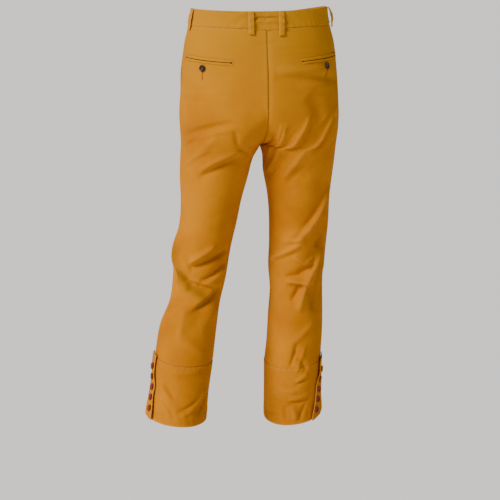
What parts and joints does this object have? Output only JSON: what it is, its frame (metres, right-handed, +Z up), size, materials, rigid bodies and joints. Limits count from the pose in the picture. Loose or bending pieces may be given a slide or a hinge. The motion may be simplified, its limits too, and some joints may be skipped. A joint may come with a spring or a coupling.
{
  "type": "riding trousers",
  "caption": "Worn riding trousers of cotton twill: straight cropped legs in mid-stride, belt loops, jetted back pockets and deep cuffs with buttoned side vents.",
  "frame": {"origin": "the middle of the waist opening, halfway up the waistband, where the wearer's waist holds the trousers up", "axes": "+X the wearer's right, +Y the way the wearer faces, +Z up"},
  "size_m": [0.4475, 0.2749, 0.9738],
  "materials": {
    "twill": "mustard cotton twill with a soft sheen",
    "pocket_button": "dark brown horn look, polished",
    "cuff_button": "red-brown, satin"
  },
  "bodies": {
    "root": {"front_left": "twill", "back_left": "twill", "front_right": "twill", "back_right": "twill", "pocket_side_left": "twill", "pocket_side_right": "twill", "cuff_front_left": "twill", "cuff_back_left": "twill", "cuff_front_right": "twill", "cuff_back_right": "twill", "waistband_left": "twill", "waistband_right": "twill", "loop_back_left": "twill", "loop_back_right": "twill", "loop_side_left": "twill", "loop_side_right": "twill", "loop_front_left": "twill", "loop_front_right": "twill", "pocket_jet_upper_left": "twill", "pocket_jet_lower_left": "twill", "pocket_jet_upper_right": "twill", "pocket_jet_lower_right": "twill", "fly_flap": "twill", "waist_tab": "twill", "placket_left": "twill", "placket_right": "twill", "pocket_button_left": "pocket_button", "pocket_button_right": "pocket_button", "waist_button": "pocket_button", "cuff_button_left_1": "cuff_button", "cuff_button_left_2": "cuff_button", "cuff_button_left_3": "cuff_button", "cuff_button_left_4": "cuff_button", "cuff_button_left_5": "cuff_button", "cuff_button_right_1": "cuff_button", "cuff_button_right_2": "cuff_button", "cuff_button_right_3": "cuff_button", "cuff_button_right_4": "cuff_button", "cuff_button_right_5": "cuff_button"}
  },
  "joints": []
}
